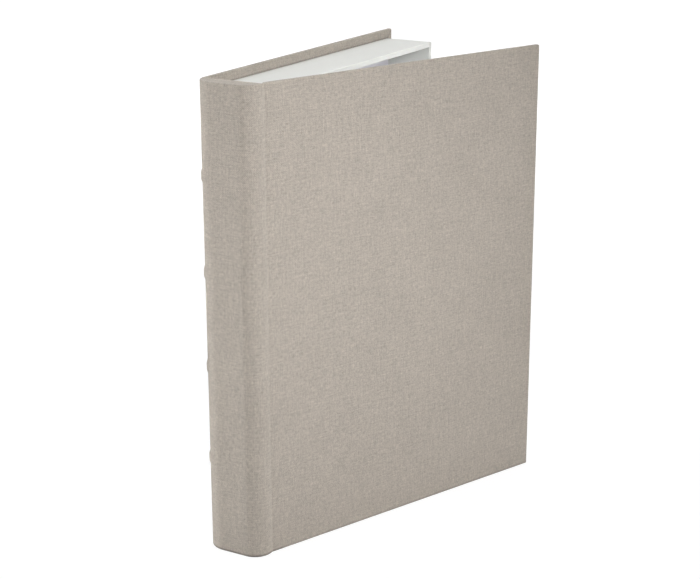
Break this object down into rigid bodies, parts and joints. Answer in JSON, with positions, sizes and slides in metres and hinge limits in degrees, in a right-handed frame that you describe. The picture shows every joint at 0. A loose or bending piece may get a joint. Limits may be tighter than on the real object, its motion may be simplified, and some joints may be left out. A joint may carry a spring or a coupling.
{
  "type": "book box",
  "caption": "Book-shaped storage box: a shallow white tray fixed in a linen-covered case with a rounded, banded spine and a front cover that swings open on a cloth hinge.",
  "frame": {"origin": "on the surface that the box stands on, under the middle of its bounding box at rest, open front cover included", "axes": "+Z from tail to head, +X from the spine to the fore edge, +Y from the front cover to the back cover"},
  "size_m": [0.2588, 0.1322, 0.32],
  "materials": {
    "book_cloth": "taupe linen weave, matte",
    "binders_board": "grey board",
    "filler_card": "plain card",
    "spine_board": "laminated grey board",
    "white_paper": "white wrap paper, matte"
  },
  "bodies": {
    "case": {"back_board": "binders_board", "back_cloth": "book_cloth", "back_filler_card": "filler_card", "spine_core": "spine_board", "spine_filler_card": "filler_card", "spine_cloth": "book_cloth", "raised_band_1": "spine_board", "raised_band_2": "spine_board", "raised_band_3": "spine_board", "raised_band_4": "spine_board", "joint_cloth": "book_cloth", "inner_joint_strip": "book_cloth", "tray_floor": "binders_board", "tray_head_wall": "binders_board", "tray_tail_wall": "binders_board", "tray_spine_wall": "binders_board", "tray_fore_edge_wall": "binders_board", "tray_wall_paper": "white_paper", "tray_floor_paper": "white_paper"},
    "front_cover": {"front_board": "binders_board", "front_cloth": "book_cloth", "front_filler_card": "filler_card", "front_lining_paper": "white_paper"}
  },
  "joints": [
    {"name": "front_cover_hinge", "type": "hinge", "parent": "case", "child": "front_cover", "pos_m": [-0.1159, 0.02027, 0.16], "axis": [0, 0, -1], "range_deg": [-21, 159], "deforming": ["joint_cloth", "inner_joint_strip"]}
  ]
}
